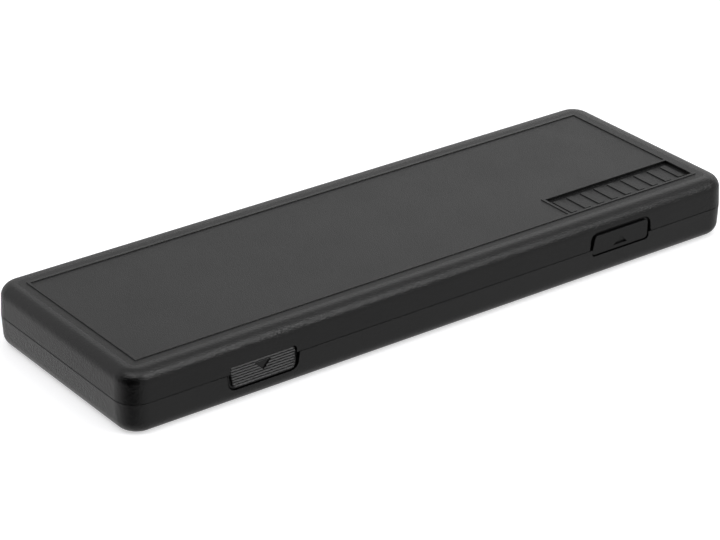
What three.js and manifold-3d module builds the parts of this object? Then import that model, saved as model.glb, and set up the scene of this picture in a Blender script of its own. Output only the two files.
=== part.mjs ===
// A pocket digital gram scale, packed with its calibration weight in a flat hinged hard case.
// Millimetres, +Z up. The origin is on the resting plane, at the centre of the whole footprint,
// hinge barrels and latch tips included. +X runs along the case, and the latches are on the -Y side.

import * as THREE from 'three';
import { mergeVertices } from 'three/addons/utils/BufferGeometryUtils.js';
import Module from 'manifold-3d';

const wasm = await Module();
wasm.setup();

// ---------------------------------------------------------------- driving dimensions: the case

const LENGTH = 240;
const WIDTH = 80.2;
const HEIGHT = 21.1;
const PARTING = 10.85;
const CORNER = 7.9;
const EDGE = 4.25;
const DRAFT = THREE.MathUtils.degToRad(2.75);
const WALL = 2.4;
const FLOOR = 2;
const GAP = 0.3;

const BEAD = { length: 223.5, width: 63.5, across: 1, proud: 0.3 };
const BADGE = { left: 56.4, back: -16.7, deep: 0.8, ribs: 9, ribWidth: 2.6, ribHigh: 0.3, ribMargin: 1.6 };
const GROOVE_DEEP = 0.4;
const LIP = { thick: 0.9, rise: 1.3, root: 1.5 };

const LATCH_X = 71.5;
const TONGUE = { rootWidth: 24, endWidth: 23, root: 2.3, end: 4.9, thick: 0.9, sunk: 0.5, proud: 0.3 };
const TONGUE_CHAMFER = { root: 0.8, end: 1 };
const STEP = { width: 25, start: 0.35, end: 5.5, front: 0.75, back: 1.1, corner: 2.6 };
const NOTCH = { mouthWidth: 26.4, endWidth: 26, deep: 5.9, inset: 1.6, corner: 3, flare: 0.4 };
const ARROW = { width: 6, height: 2.9, deep: 0.3 };

const HINGE_X = 72;
const HINGE_OUT = 2.7;
const BARREL_R = 2.4;
const BORE_R = 1.15;
const PIN_R = 1;
const KNUCKLE = 7.6;
const KNUCKLE_PITCH = 8;

// ---------------------------------------------------------------- driving dimensions: the contents

const FOAM = { length: 232.2, width: 72.4, corner: 4, floor: 1.2, baseTop: 10.6, lidBottom: 11.2 };
const LID_RECESS_TOP = 16.4;
const SCOOP = { length: 24, reach: 5.2 };

const WEIGHT = { x: 75, radius: 20, height: 10.2, edge: 0.8, rim: 3, dish: 0.5, bevel: 0.6 };
const WEIGHT_SLOT = { width: 16, length: 58 };

const SCALE_X = -37;
const SCALE = { length: 140, width: 56, corner: 6, edge: 0.8, wall: 1.4 };
const SCALE_Z = FLOOR + GAP + FOAM.floor + GAP;
const LOWER = { bottom: 0.8, floor: 2, top: 7 };
const UPPER = { bottom: 7.3, ceiling: 9.3, top: 10.6 };

const PLATE = { x: -26, length: 84, width: 52, corner: 5, bottom: 11.1, top: 12 };
const CARRIER = { length: 71, width: 39, corner: 3, bottom: 9.5, top: 10.8, hub: 8.95 };
const CELL = { left: -57, right: 5, width: 10, bottom: 3.2, top: 8.4, holeR: 1.9, holeSpan: 14 };
const CELL_SEAT_LEFT = -7;
const CELL_SLOT = 1.2;
const GAUGE = { length: 18, width: 6, thick: 0.2 };
const FREE_SCREWS = [-54, -48];
const FIXED_SCREWS = [-4, 2];

const PANEL_X = 42;
const BOARD = { left: 20, right: 66.8, width: 50, bottom: 5.4, top: 6.4 };
const DISPLAY = { y: 9, length: 38, width: 16, bottom: 6.7, top: 8.7 };
const WINDOW = { length: 42, width: 20, bottom: 9.9, top: 10.4, ledge: 1.2 };
const KEY = { y: -16, pitch: 11.5, length: 9, width: 6, bottom: 8, top: 11, flange: 1 };
const KEY_COUNT = 4;
const COIN = { radius: 10, bottom: 1.9, top: 5.1, xs: [33, 55] };
const BAY = { left: 21.5, right: 66.5, width: 23.2, wall: 1, top: 5 };
const POST = { x: 24, y: 21, radius: 1.6 };
const MAT_THICK = 0.6;
const RIBBON = { width: 4, bottom: 5.7, top: 6.1 };
const CONTACT = { thick: 0.4, width: 8, bottom: 2.3, top: 5, clear: 0.6 };
const COVER = { thick: 0.8, grips: 3 };
const COVER_GRIP = { x: 24, pitch: 1.6, width: 0.8, length: 10, deep: 0.3 };

const CASE_SCREW = { x: 64.6, y: 22.6, bossR: 2.3, headR: 1.8, shaftR: 1, holeR: 1.3 };
const FOOT = { x: 56, y: 20, radius: 3.5, top: 1.1 };
const HOUSING_SCREW = { head: 1, length: 7.6, z: 1.1, bore: 1.6 };
const CARRIER_SCREW = { head: 0.7, length: 5.6, z: 10.6, bore: 0.1 };
const CELL_SCREW = { head: 0.8, length: 6.3, z: 0.9, bore: 1.2 };

const ROUND = 24;

// ---------------------------------------------------------------- solids from three.js geometry

function solid(geometry) {
  const bare = geometry.clone();
  bare.deleteAttribute('normal');
  bare.deleteAttribute('uv');
  const merged = mergeVertices(bare, 1e-4);
  const mesh = new wasm.Mesh({
    numProp: 3,
    vertProperties: new Float32Array(merged.attributes.position.array),
    triVerts: new Uint32Array(merged.index.array),
  });
  return new wasm.Manifold(mesh);
}

function toGeometry(body) {
  const mesh = body.getMesh();
  const geometry = new THREE.BufferGeometry();
  geometry.setAttribute('position', new THREE.BufferAttribute(mesh.vertProperties, 3));
  geometry.setIndex(new THREE.BufferAttribute(mesh.triVerts, 1));
  geometry.computeVertexNormals();
  return geometry;
}

function roundedRect(length, width, radius, cx = 0, cy = 0) {
  const x = length / 2 - radius;
  const y = width / 2 - radius;
  const shape = new THREE.Shape();
  shape.absarc(cx + x, cy + y, radius, 0, Math.PI / 2);
  shape.absarc(cx - x, cy + y, radius, Math.PI / 2, Math.PI);
  shape.absarc(cx - x, cy - y, radius, Math.PI, 1.5 * Math.PI);
  shape.absarc(cx + x, cy - y, radius, 1.5 * Math.PI, 2 * Math.PI);
  shape.closePath();
  return shape;
}

// A straight-sided slab between two heights.
function slab(shape, bottom, top, curveSegments = 3) {
  const options = { depth: top - bottom, bevelEnabled: false, curveSegments };
  return new THREE.ExtrudeGeometry(shape, options).translate(0, 0, bottom);
}

// A slab whose upper and lower edges are rounded, and whose outline stays inside the shape.
function softSlab(shape, bottom, top, edge, bevelSegments, curveSegments) {
  const geometry = new THREE.ExtrudeGeometry(shape, {
    depth: top - bottom - 2 * edge,
    steps: 2,
    bevelThickness: edge,
    bevelSize: edge,
    bevelOffset: -edge,
    bevelSegments,
    curveSegments,
  });
  return geometry.translate(0, 0, bottom + edge);
}

function block(x0, x1, y0, y1, z0, z1) {
  const geometry = new THREE.BoxGeometry(x1 - x0, y1 - y0, z1 - z0);
  return geometry.translate((x0 + x1) / 2, (y0 + y1) / 2, (z0 + z1) / 2);
}

function disc(x, y, radius, bottom, top, sides = ROUND) {
  const geometry = new THREE.CylinderGeometry(radius, radius, top - bottom, sides);
  return geometry.rotateX(Math.PI / 2).translate(x, y, (bottom + top) / 2);
}

// A turned piece: its profile is [radius, height] points that start and end on the axis.
function turned(profile, sides) {
  const points = profile.map(([r, z]) => new THREE.Vector2(r, z));
  return new THREE.LatheGeometry(points, sides).rotateX(Math.PI / 2);
}

function rodAlongX(x0, x1, y, z, radius) {
  const geometry = new THREE.CylinderGeometry(radius, radius, x1 - x0, ROUND);
  return geometry.rotateZ(Math.PI / 2).translate((x0 + x1) / 2, y, z);
}

function join(...geometries) {
  return geometries.map(solid).reduce((all, next) => all.add(next));
}

function cut(body, ...geometries) {
  return geometries.map(solid).reduce((rest, next) => rest.subtract(next), body);
}

// ---------------------------------------------------------------- materials and placing

function material(color, roughness, metalness = 0) {
  return () => new THREE.MeshStandardMaterial({ color, roughness, metalness, flatShading: true });
}

const casePlastic = material(0x1b1b1c, 0.5);
const foam = material(0x26272a, 0.95);
const steel = material(0xb9bcc0, 0.35, 1);
const aluminium = material(0xc9ccd0, 0.45, 1);
const housingPlastic = material(0x222428, 0.45);
const keyPlastic = material(0x8d9197, 0.5);
const rubber = material(0x18181a, 0.85);
const circuitBoard = material(0x1d5a35, 0.5);
const copper = material(0xc49a45, 0.4, 1);
const displayGlass = material(0x9fae93, 0.2);
const clearPlastic = material(0xdfe4e6, 0.08);

function place(parent, name, shape, makeMaterial, x = 0, y = 0, z = 0) {
  const geometry = shape.isBufferGeometry ? shape : toGeometry(shape);
  const mesh = new THREE.Mesh(geometry, makeMaterial());
  mesh.name = name;
  mesh.position.set(x, y, z);
  parent.add(mesh);
  return mesh;
}

// ---------------------------------------------------------------- the case, z counted from the parting

// The draft makes the moulding widest at the parting plane.
function tapered(geometry) {
  const position = geometry.attributes.position;
  for (let i = 0; i < position.count; i += 1) {
    const inset = Math.abs(position.getZ(i)) * Math.tan(DRAFT);
    position.setX(i, position.getX(i) * (1 - (2 * inset) / LENGTH));
    position.setY(i, position.getY(i) * (1 - (2 * inset) / WIDTH));
  }
  return geometry;
}

function ring(length, width, across, bottom, top, radius = 0.2) {
  const outer = slab(roundedRect(length, width, radius), bottom, top, 1);
  const hole = roundedRect(length - 2 * across, width - 2 * across, Math.max(radius - across, 0.2));
  return cut(solid(outer), slab(hole, bottom - 1, top + 1, 1));
}

// Both halves are cut in their own frame, in which the half lies on the +Z side of the parting.
function flipped(geometry) {
  return geometry.rotateY(Math.PI);
}

function tongueOutline() {
  const { rootWidth, endWidth, root, end } = TONGUE;
  const chamfer = TONGUE_CHAMFER;
  const shape = new THREE.Shape();
  shape.moveTo(-rootWidth / 2 + chamfer.root, root);
  shape.lineTo(rootWidth / 2 - chamfer.root, root);
  shape.lineTo(rootWidth / 2, root - chamfer.root);
  shape.lineTo(endWidth / 2, -end + chamfer.end);
  shape.lineTo(endWidth / 2 - chamfer.end, -end);
  shape.lineTo(-endWidth / 2 + chamfer.end, -end);
  shape.lineTo(-endWidth / 2, -end + chamfer.end);
  shape.lineTo(-rootWidth / 2, root - chamfer.root);
  shape.closePath();
  return shape;
}

// The wider step behind the tongue's pad, which fills the other half's notch.
function stepOutline() {
  const { width, start, end, corner } = STEP;
  const shape = new THREE.Shape();
  shape.moveTo(-width / 2, -start);
  shape.absarc(-width / 2 + corner, -end + corner, corner, Math.PI, 1.5 * Math.PI);
  shape.absarc(width / 2 - corner, -end + corner, corner, 1.5 * Math.PI, 2 * Math.PI);
  shape.lineTo(width / 2, -start);
  shape.closePath();
  return shape;
}

function arrowOutline() {
  const shape = new THREE.Shape();
  shape.moveTo(-ARROW.width / 2, 0);
  shape.lineTo(0, -ARROW.height);
  shape.lineTo(ARROW.width / 2, 0);
  shape.closePath();
  return shape;
}

// Stands an outline drawn in X and Z on the front face, between two depths behind that face.
function onFront(shape, from, to) {
  return slab(shape, 0, to - from).rotateX(Math.PI / 2).translate(0, -WIDTH / 2 + to, 0);
}

// The tongue leans: its root is sunk into the wall and its free end stands a little proud.
function leaning(geometry) {
  const position = geometry.attributes.position;
  const slope = (TONGUE.sunk + TONGUE.proud) / (TONGUE.root + TONGUE.end);
  for (let i = 0; i < position.count; i += 1) {
    const belowRoot = TONGUE.root - position.getZ(i);
    position.setY(i, position.getY(i) + TONGUE.sunk - slope * belowRoot);
  }
  return geometry;
}

function tongue() {
  const pad = leaning(onFront(tongueOutline(), 0, TONGUE.thick));
  const step = leaning(onFront(stepOutline(), STEP.front, STEP.back));
  const arrow = leaning(onFront(arrowOutline(), -1, ARROW.deep));
  return cut(join(pad, step), arrow);
}

// The notch is flared at its mouth and narrows a little towards its large far corners.
function notchOutline() {
  const { mouthWidth, endWidth, deep, corner, flare } = NOTCH;
  const shape = new THREE.Shape();
  shape.moveTo(-mouthWidth / 2 - flare, -1);
  shape.lineTo(mouthWidth / 2 + flare, -1);
  shape.lineTo(mouthWidth / 2 + flare, 0);
  shape.lineTo(mouthWidth / 2, flare);
  shape.absarc(endWidth / 2 - corner, deep - corner, corner, 0, Math.PI / 2);
  shape.absarc(-endWidth / 2 + corner, deep - corner, corner, Math.PI / 2, Math.PI);
  shape.lineTo(-mouthWidth / 2, flare);
  shape.lineTo(-mouthWidth / 2 - flare, 0);
  shape.closePath();
  return shape;
}

// The half's own tongue sits in a pocket at -LATCH_X, and the other half's tongue lies over the notch.
function latchCuts() {
  const reach = TONGUE.rootWidth / 2 + GAP;
  const front = -WIDTH / 2;
  const behind = front + TONGUE.sunk + TONGUE.thick + GAP;
  const pocket = block(-LATCH_X - reach, -LATCH_X + reach, front - 1, behind, -1, TONGUE.root + GAP);
  const notch = onFront(notchOutline(), -1, NOTCH.inset).translate(LATCH_X, 0, 0);
  return [pocket, notch];
}

function knuckles() {
  const y = WIDTH / 2 + HINGE_OUT;
  const centres = [HINGE_X - KNUCKLE_PITCH, HINGE_X + KNUCKLE_PITCH, -HINGE_X];
  const pieces = centres.flatMap((x) => [
    rodAlongX(x - KNUCKLE / 2, x + KNUCKLE / 2, y, 0, BARREL_R),
    block(x - KNUCKLE / 2, x + KNUCKLE / 2, WIDTH / 2 - WALL / 2, y, GAP / 2, BARREL_R),
  ]);
  return join(...pieces);
}

function hingeBore() {
  return rodAlongX(-LENGTH, LENGTH, WIDTH / 2 + HINGE_OUT, 0, BORE_R);
}

// One plain half: outer moulding, cavity, latch cuts and hinge knuckles.
function halfShell(height) {
  const outer = softSlab(roundedRect(LENGTH, WIDTH, CORNER), -height, height, EDGE, 4, 4);
  const above = block(-LENGTH, LENGTH, -WIDTH, WIDTH, GAP / 2, HEIGHT);
  const inside = roundedRect(LENGTH - 2 * WALL, WIDTH - 2 * WALL, CORNER - WALL);
  const half = solid(tapered(outer)).intersect(solid(above)).add(knuckles());
  return cut(half, slab(inside, -1, height - FLOOR), hingeBore(), ...latchCuts());
}

// A plain row of low ribs on the floor of the sunk badge.
function badgeRibs(panel) {
  const right = BEAD.length / 2 - BEAD.across;
  const left = BADGE.left + BEAD.across;
  const pitch = (right - left) / BADGE.ribs;
  const front = -BEAD.width / 2 + BEAD.across + BADGE.ribMargin;
  const back = BADGE.back - BEAD.across - BADGE.ribMargin;
  const floor = panel - BADGE.deep;
  return Array.from({ length: BADGE.ribs }, (_, i) => {
    const x = left + (i + 0.5) * pitch;
    const [low, high] = [floor - 0.2, floor + BADGE.ribHigh];
    return block(x - BADGE.ribWidth / 2, x + BADGE.ribWidth / 2, front, back, low, high);
  });
}

function lidShell() {
  const panel = HEIGHT - PARTING;
  const top = panel + BEAD.proud;
  const right = BEAD.length / 2 - BEAD.across;
  const front = -BEAD.width / 2 + BEAD.across;
  const inner = BADGE.left + BEAD.across;
  const innerBack = BADGE.back - BEAD.across;
  const sunk = block(inner, right, front, innerBack, panel - BADGE.deep, top + 1);
  const frame = join(
    block(BADGE.left, inner, front - 0.2, BADGE.back, panel - 0.3, top),
    block(BADGE.left, right + 0.2, innerBack, BADGE.back, panel - 0.3, top),
  );
  const bead = ring(BEAD.length, BEAD.width, BEAD.across, panel - 0.3, top);
  return cut(halfShell(panel), sunk).add(bead).add(frame).add(join(...badgeRibs(panel)));
}

// The base carries an inner lip that stands inside the lid's wall, and a fine groove underneath.
function baseShell() {
  const length = LENGTH - 2 * WALL;
  const width = WIDTH - 2 * WALL;
  const radius = CORNER - WALL;
  const lipTop = ring(length - 2 * GAP, width - 2 * GAP, LIP.thick, -LIP.rise, GAP, radius - GAP);
  const lipRoot = ring(length + 1, width + 1, LIP.thick + GAP + 0.5, GAP / 2, LIP.root, radius + 0.5);
  const groove = ring(BEAD.length, BEAD.width, BEAD.across, PARTING - GROOVE_DEEP, PARTING + 1);
  const shell = halfShell(PARTING).add(lipTop).add(lipRoot).subtract(groove);
  return solid(flipped(toGeometry(shell)));
}

function addCase(parent) {
  const halves = new THREE.Group();
  halves.position.z = PARTING;
  parent.add(halves);
  place(halves, 'base_shell', baseShell(), casePlastic);
  place(halves, 'lid_shell', lidShell(), casePlastic);
  place(halves, 'lid_latch', tongue(), casePlastic, -LATCH_X, 0, 0);
  place(halves, 'base_latch', flipped(toGeometry(tongue())), casePlastic, LATCH_X, 0, 0);
  for (const [side, x] of [['left', -HINGE_X], ['right', HINGE_X]]) {
    const half = KNUCKLE_PITCH + KNUCKLE / 2 - GAP;
    const pin = rodAlongX(-half, half, 0, 0, PIN_R);
    place(halves, `hinge_pin_${side}`, pin, steel, x, WIDTH / 2 + HINGE_OUT, 0);
  }
}

// ---------------------------------------------------------------- the foam liners and the weight

function scalePocket(bottom, top, clearance) {
  const outline = roundedRect(SCALE.length + clearance, SCALE.width + clearance, SCALE.corner, SCALE_X);
  return slab(outline, bottom, top);
}

function baseFoam() {
  const bottom = FLOOR + GAP;
  const pocketFloor = bottom + FOAM.floor;
  const top = FOAM.baseTop + 1;
  const sheet = slab(roundedRect(FOAM.length, FOAM.width, FOAM.corner), bottom, FOAM.baseTop);
  const scoopWidth = SCALE.width + 2 * SCOOP.reach;
  return cut(
    solid(sheet),
    scalePocket(pocketFloor, top, 2 * GAP),
    slab(roundedRect(SCOOP.length, scoopWidth, 4, SCALE_X), pocketFloor, top),
    disc(WEIGHT.x, 0, WEIGHT.radius + 0.5, pocketFloor, top, 40),
    slab(roundedRect(WEIGHT_SLOT.width, WEIGHT_SLOT.length, 7.5, WEIGHT.x), pocketFloor, top),
  );
}

function lidFoam() {
  const top = HEIGHT - FLOOR - GAP;
  return cut(
    solid(slab(roundedRect(FOAM.length, FOAM.width, FOAM.corner), FOAM.lidBottom, top)),
    scalePocket(FOAM.lidBottom - 1, LID_RECESS_TOP, 1.2),
    disc(WEIGHT.x, 0, WEIGHT.radius + 1, FOAM.lidBottom - 1, LID_RECESS_TOP, 40),
  );
}

function weightDisc() {
  const { radius, height, edge, rim, dish, bevel } = WEIGHT;
  const profile = [[0, 0], [radius - edge, 0], [radius, edge]];
  profile.push([radius, height - edge], [radius - edge, height], [radius - rim, height]);
  profile.push([radius - rim - bevel, height - dish], [0, height - dish]);
  return turned(profile, 48);
}

function addLiners(parent) {
  place(parent, 'base_foam', baseFoam(), foam);
  place(parent, 'lid_foam', lidFoam(), foam);
  place(parent, 'calibration_weight', solid(weightDisc()), steel, WEIGHT.x, 0, SCALE_Z);
}

// ---------------------------------------------------------------- the scale, z counted from its feet

function atCorners(x, y) {
  return [[-x, -y], [x, -y], [x, y], [-x, y]];
}

function scaleOutline(inset) {
  return roundedRect(SCALE.length - 2 * inset, SCALE.width - 2 * inset, SCALE.corner - inset);
}

function lowerHousing() {
  const { bottom, floor, top } = LOWER;
  const corners = atCorners(CASE_SCREW.x, CASE_SCREW.y);
  const outer = solid(softSlab(scaleOutline(0), bottom, top + SCALE.edge, SCALE.edge, 2, 3));
  const below = block(-SCALE.length, SCALE.length, -SCALE.width, SCALE.width, 0, top);
  const tray = cut(outer.intersect(solid(below)), slab(scaleOutline(SCALE.wall), floor, top + 1));
  const bosses = corners.map(([x, y]) => disc(x, y, CASE_SCREW.bossR, bottom + 0.2, top));
  const seatY = CELL.width / 2;
  const cellSeat = block(CELL_SEAT_LEFT, CELL.right, -seatY, seatY, floor - 0.2, CELL.bottom - GAP);
  const bayWidth = BAY.width / 2 + BAY.wall;
  const bay = block(BAY.left - BAY.wall, BAY.right + BAY.wall, -bayWidth, bayWidth, bottom + 0.2, BAY.top);
  const post = (y) => disc(POST.x, y, POST.radius, floor - 0.2, BOARD.bottom - GAP, 12);
  const boardPosts = [-POST.y, POST.y].map(post);
  const built = tray.add(join(...bosses, cellSeat, bay, ...boardPosts));
  return cut(
    built,
    block(BAY.left, BAY.right, -BAY.width / 2, BAY.width / 2, 0, BAY.top + 1),
    ...corners.map(([x, y]) => disc(x, y, CASE_SCREW.holeR, 0, top + 1, 16)),
    ...corners.map(([x, y]) => disc(x, y, CASE_SCREW.headR + GAP, 0, bottom + HOUSING_SCREW.bore, 16)),
    ...FIXED_SCREWS.map((x) => disc(x, 0, CASE_SCREW.holeR, 0, top, 16)),
    ...FIXED_SCREWS.map((x) => disc(x, 0, CASE_SCREW.headR + GAP, 0, bottom + CELL_SCREW.bore, 16)),
    ...atCorners(FOOT.x, FOOT.y).map(([x, y]) => disc(x, y, FOOT.radius + GAP, 0, FOOT.top + GAP, 20)),
  );
}

function keyCentres() {
  return Array.from({ length: KEY_COUNT }, (_, i) => PANEL_X + (i - (KEY_COUNT - 1) / 2) * KEY.pitch);
}

function upperHousing() {
  const { bottom, ceiling, top } = UPPER;
  const corners = atCorners(CASE_SCREW.x, CASE_SCREW.y);
  const outer = solid(softSlab(scaleOutline(0), bottom - SCALE.edge, top, SCALE.edge, 2, 3));
  const above = block(-SCALE.length, SCALE.length, -SCALE.width, SCALE.width, bottom, top + 1);
  const shell = cut(outer.intersect(solid(above)), slab(scaleOutline(SCALE.wall), bottom - 1, ceiling));
  const bosses = corners.map(([x, y]) => disc(x, y, CASE_SCREW.bossR, bottom, ceiling + 0.3));
  const opening = roundedRect(CARRIER.length + 1, CARRIER.width + 1, CARRIER.corner, PLATE.x);
  const { length, width, ledge } = WINDOW;
  const windowSeat = roundedRect(length + 2 * GAP, width + 2 * GAP, 1.5, PANEL_X, DISPLAY.y);
  const view = roundedRect(length - 2 * ledge, width - 2 * ledge, 1, PANEL_X, DISPLAY.y);
  const keyHole = (x) => roundedRect(KEY.length + 2 * GAP, KEY.width + 2 * GAP, 1.6, x, KEY.y);
  return cut(
    shell.add(join(...bosses)),
    slab(opening, ceiling - 1, top + 1),
    slab(windowSeat, WINDOW.bottom - GAP, top + 1, 2),
    slab(view, ceiling - 1, top + 1, 1),
    ...keyCentres().map((x) => slab(keyHole(x), ceiling - 1, top + 1, 2)),
    ...corners.map(([x, y]) => disc(x, y, CASE_SCREW.holeR, bottom - 1, ceiling - 0.2, 16)),
  );
}

// A pan-head screw that points up, its head underneath.
function screw({ head, length }) {
  const { headR, shaftR } = CASE_SCREW;
  const profile = [[0, 0], [headR - 0.3, 0], [headR, 0.3], [headR, head], [shaftR, head]];
  profile.push([shaftR, length - 0.5], [0.4, length], [0, length]);
  return turned(profile, 14);
}

function loadCell() {
  const { left, right, width, bottom, top, holeR, holeSpan } = CELL;
  const middle = (left + right) / 2;
  const z = (bottom + top) / 2;
  const across = (x) => new THREE.CylinderGeometry(holeR, holeR, width + 2, 16).translate(x, 0, z);
  return cut(
    solid(block(left, right, -width / 2, width / 2, bottom, top)),
    across(middle - holeSpan / 2),
    across(middle + holeSpan / 2),
    block(middle - holeSpan / 2, middle + holeSpan / 2, -width, width, z - CELL_SLOT / 2, z + CELL_SLOT / 2),
    ...FIXED_SCREWS.map((x) => disc(x, 0, CASE_SCREW.holeR, bottom - 1, 7.6, 16)),
    ...FREE_SCREWS.map((x) => disc(x, 0, CASE_SCREW.holeR, 4, top + 1, 16)),
  );
}

function addWeighing(parent) {
  const plate = roundedRect(PLATE.length, PLATE.width, PLATE.corner);
  place(parent, 'weighing_plate', softSlab(plate, PLATE.bottom, PLATE.top, 0.3, 1, 3), steel, PLATE.x, 0, 0);

  const { length, width, corner, bottom, top } = CARRIER;
  const sheet = slab(roundedRect(length, width, corner, PLATE.x), bottom, top);
  const hubRight = FREE_SCREWS[1] + 3;
  const hub = block(CELL.left, hubRight, -CELL.width / 2, CELL.width / 2, CARRIER.hub, bottom + 0.2);
  const headHole = (x) => disc(x, 0, CASE_SCREW.headR + GAP, bottom + CARRIER_SCREW.bore, top + 1, 16);
  const carrier = cut(
    join(sheet, hub),
    ...FREE_SCREWS.map((x) => disc(x, 0, CASE_SCREW.holeR, 0, top + 1, 16)),
    ...FREE_SCREWS.map(headHole),
  );
  place(parent, 'plate_carrier', carrier, housingPlastic);
  place(parent, 'load_cell', loadCell(), aluminium);

  const middle = (CELL.left + CELL.right) / 2;
  const [gaugeX, gaugeY] = [GAUGE.length / 2, GAUGE.width / 2];
  const gauge = (z) => block(middle - gaugeX, middle + gaugeX, -gaugeY, gaugeY, z, z + GAUGE.thick);
  place(parent, 'strain_gauge_top', gauge(CELL.top + GAP), copper);
  place(parent, 'strain_gauge_bottom', gauge(CELL.bottom - GAP - GAUGE.thick), copper);

  const down = screw(CARRIER_SCREW).rotateX(Math.PI);
  const up = screw(CELL_SCREW);
  FREE_SCREWS.forEach((x, i) => place(parent, `carrier_screw_${i + 1}`, down, steel, x, 0, CARRIER_SCREW.z));
  FIXED_SCREWS.forEach((x, i) => place(parent, `cell_screw_${i + 1}`, up, steel, x, 0, CELL_SCREW.z));
}

function addElectronics(parent) {
  const middle = (BOARD.left + BOARD.right) / 2;
  const outline = roundedRect(BOARD.right - BOARD.left, BOARD.width, 1, middle);
  const reach = CASE_SCREW.bossR + 0.5;
  const [cornerX, cornerY] = [CASE_SCREW.x - reach, CASE_SCREW.y - reach];
  const corners = [-1, 1].map((side) => {
    const corner = block(cornerX, SCALE.length, cornerY, SCALE.width, 0, UPPER.top);
    return side > 0 ? corner : corner.rotateX(Math.PI).translate(0, 0, UPPER.top);
  });
  const board = cut(solid(slab(outline, BOARD.bottom, BOARD.top, 1)), ...corners);
  place(parent, 'circuit_board', board, circuitBoard);

  const glass = slab(roundedRect(DISPLAY.length, DISPLAY.width, 0.5), DISPLAY.bottom, DISPLAY.top, 1);
  place(parent, 'display', glass, displayGlass, PANEL_X, DISPLAY.y, 0);
  const pane = slab(roundedRect(WINDOW.length, WINDOW.width, 1.2), WINDOW.bottom, WINDOW.top, 2);
  place(parent, 'display_window', pane, clearPlastic, PANEL_X, DISPLAY.y, 0);

  const matHalf = KEY.pitch * (KEY_COUNT / 2);
  const matBottom = BOARD.top + GAP;
  const mat = block(-matHalf, matHalf, -KEY.width / 2, KEY.width / 2, matBottom, matBottom + MAT_THICK);
  place(parent, 'key_mat', mat, rubber, PANEL_X, KEY.y, 0);

  const side = RIBBON.width / 2;
  const ribbon = block(CELL.right + GAP, BOARD.left - GAP, -side, side, RIBBON.bottom, RIBBON.top);
  place(parent, 'load_cell_ribbon', ribbon, copper);
}

function key() {
  const stem = softSlab(roundedRect(KEY.length, KEY.width, 1.4), KEY.bottom, KEY.top, 0.3, 1, 2);
  const flange = roundedRect(KEY.length + 2 * KEY.flange, KEY.width + 2 * KEY.flange, 1);
  return join(stem, slab(flange, KEY.bottom + 0.2, UPPER.ceiling - GAP, 1));
}

function addKeys(parent) {
  const names = ['power_key', 'tare_key', 'mode_key', 'count_key'];
  const xs = keyCentres();
  names.forEach((name, i) => place(parent, name, key(), keyPlastic, xs[i], KEY.y, 0));
}

function addPower(parent) {
  const { radius, bottom, top } = COIN;
  const profile = [[0, bottom], [radius - 0.3, bottom], [radius, bottom + 0.3], [radius, top], [0, top]];
  const coin = turned(profile, 32);
  COIN.xs.forEach((x, i) => place(parent, `coin_cell_${i + 1}`, coin, steel, x, 0, 0));

  const [stripX, stripY] = [CONTACT.thick / 2, CONTACT.width / 2];
  const strip = block(-stripX, stripX, -stripY, stripY, CONTACT.bottom, CONTACT.top);
  const [first, second] = COIN.xs;
  const clear = COIN.radius + CONTACT.clear;
  place(parent, 'battery_contact_1', strip, copper, first - clear, 0, 0);
  place(parent, 'battery_contact_2', strip, copper, (first + second) / 2, 0, 0);
  place(parent, 'battery_contact_3', strip, copper, second + clear, 0, 0);

  const middle = (BAY.left + BAY.right) / 2;
  const outline = roundedRect(BAY.right - BAY.left - 2 * GAP, BAY.width - 2 * GAP, 0.5, middle);
  const grips = Array.from({ length: COVER.grips }, (_, i) => {
    const x = COVER_GRIP.x + i * COVER_GRIP.pitch;
    const reach = COVER_GRIP.length / 2;
    return block(x, x + COVER_GRIP.width, -reach, reach, 0, LOWER.bottom + COVER_GRIP.deep);
  });
  const cover = cut(solid(slab(outline, LOWER.bottom, LOWER.bottom + COVER.thick, 1)), ...grips);
  place(parent, 'battery_cover', cover, housingPlastic);
}

function addHousing(parent) {
  place(parent, 'lower_housing', lowerHousing(), housingPlastic);
  place(parent, 'upper_housing', upperHousing(), housingPlastic);
  atCorners(CASE_SCREW.x, CASE_SCREW.y).forEach(([x, y], i) => {
    place(parent, `housing_screw_${i + 1}`, screw(HOUSING_SCREW), steel, x, y, HOUSING_SCREW.z);
  });
  atCorners(FOOT.x, FOOT.y).forEach(([x, y], i) => {
    place(parent, `rubber_foot_${i + 1}`, disc(0, 0, FOOT.radius, 0, FOOT.top, 16), rubber, x, y, 0);
  });
}

function addScale(parent) {
  const scale = new THREE.Group();
  scale.position.set(SCALE_X, 0, SCALE_Z);
  parent.add(scale);
  addHousing(scale);
  addWeighing(scale);
  addElectronics(scale);
  addKeys(scale);
  addPower(scale);
}

// ---------------------------------------------------------------- the whole object

const model = new THREE.Group();
const packed = new THREE.Group();
packed.position.y = -(HINGE_OUT + BARREL_R - TONGUE.proud) / 2;
model.add(packed);
addCase(packed);
addLiners(packed);
addScale(packed);

export default model;
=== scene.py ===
"""A pocket gram scale in its hinged hard case: the looks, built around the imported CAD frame.

Shapes are drawn in millimetres, and settle() turns them into metres. The case halves and latches are drawn
round the middle of the case body, with z counted from the parting. The contents are drawn where they lie."""

import math

import bmesh
import bpy
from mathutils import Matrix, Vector, noise


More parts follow.
